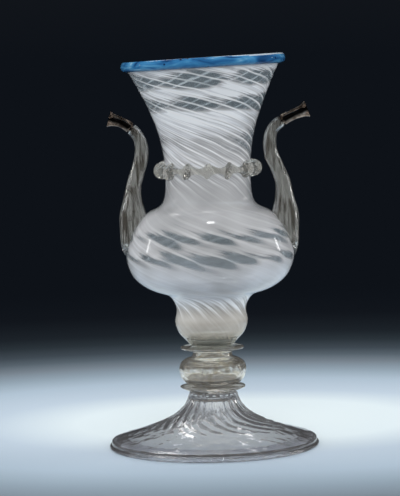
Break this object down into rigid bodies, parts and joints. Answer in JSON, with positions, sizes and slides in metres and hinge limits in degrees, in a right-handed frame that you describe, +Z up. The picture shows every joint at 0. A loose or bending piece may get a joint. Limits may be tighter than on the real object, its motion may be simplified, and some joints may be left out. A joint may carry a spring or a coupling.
{
  "type": "double-spouted glass vessel",
  "caption": "Trumpet-necked blown glass vessel on a knopped stem and folded foot, with a blue lip trail, a pinched collar and two curved spouts with metal tips.",
  "frame": {"origin": "middle of the foot, on the surface that the vessel stands on", "axes": "+Z up the vessel's axis, X through the two spouts, +X towards the viewer's right in the picture, -Y towards the viewer"},
  "size_m": [0.1328, 0.1328, 0.2469],
  "materials": {
    "clear_glass": "clear colourless glass with a grey tint, fire-polished",
    "straw_glass": "clear glass with a straw tint, fire-polished",
    "milky_glass": "clear glass with white threads in its wall, melted smooth, and a lilac-grey haze",
    "blue_glass": "azure glass with dark blue streaks, fire-polished",
    "tip_metal": "polished thin sheet metal, slightly tarnished"
  },
  "bodies": {
    "root": {"foot": "clear_glass", "lower_merese": "straw_glass", "stem_knop": "straw_glass", "upper_merese": "straw_glass", "vessel_body": "milky_glass", "lip_wrap": "blue_glass", "pinched_collar": "straw_glass", "spout_left": "clear_glass", "spout_right": "clear_glass", "spout_tip_left": "tip_metal", "spout_tip_right": "tip_metal"}
  },
  "joints": []
}
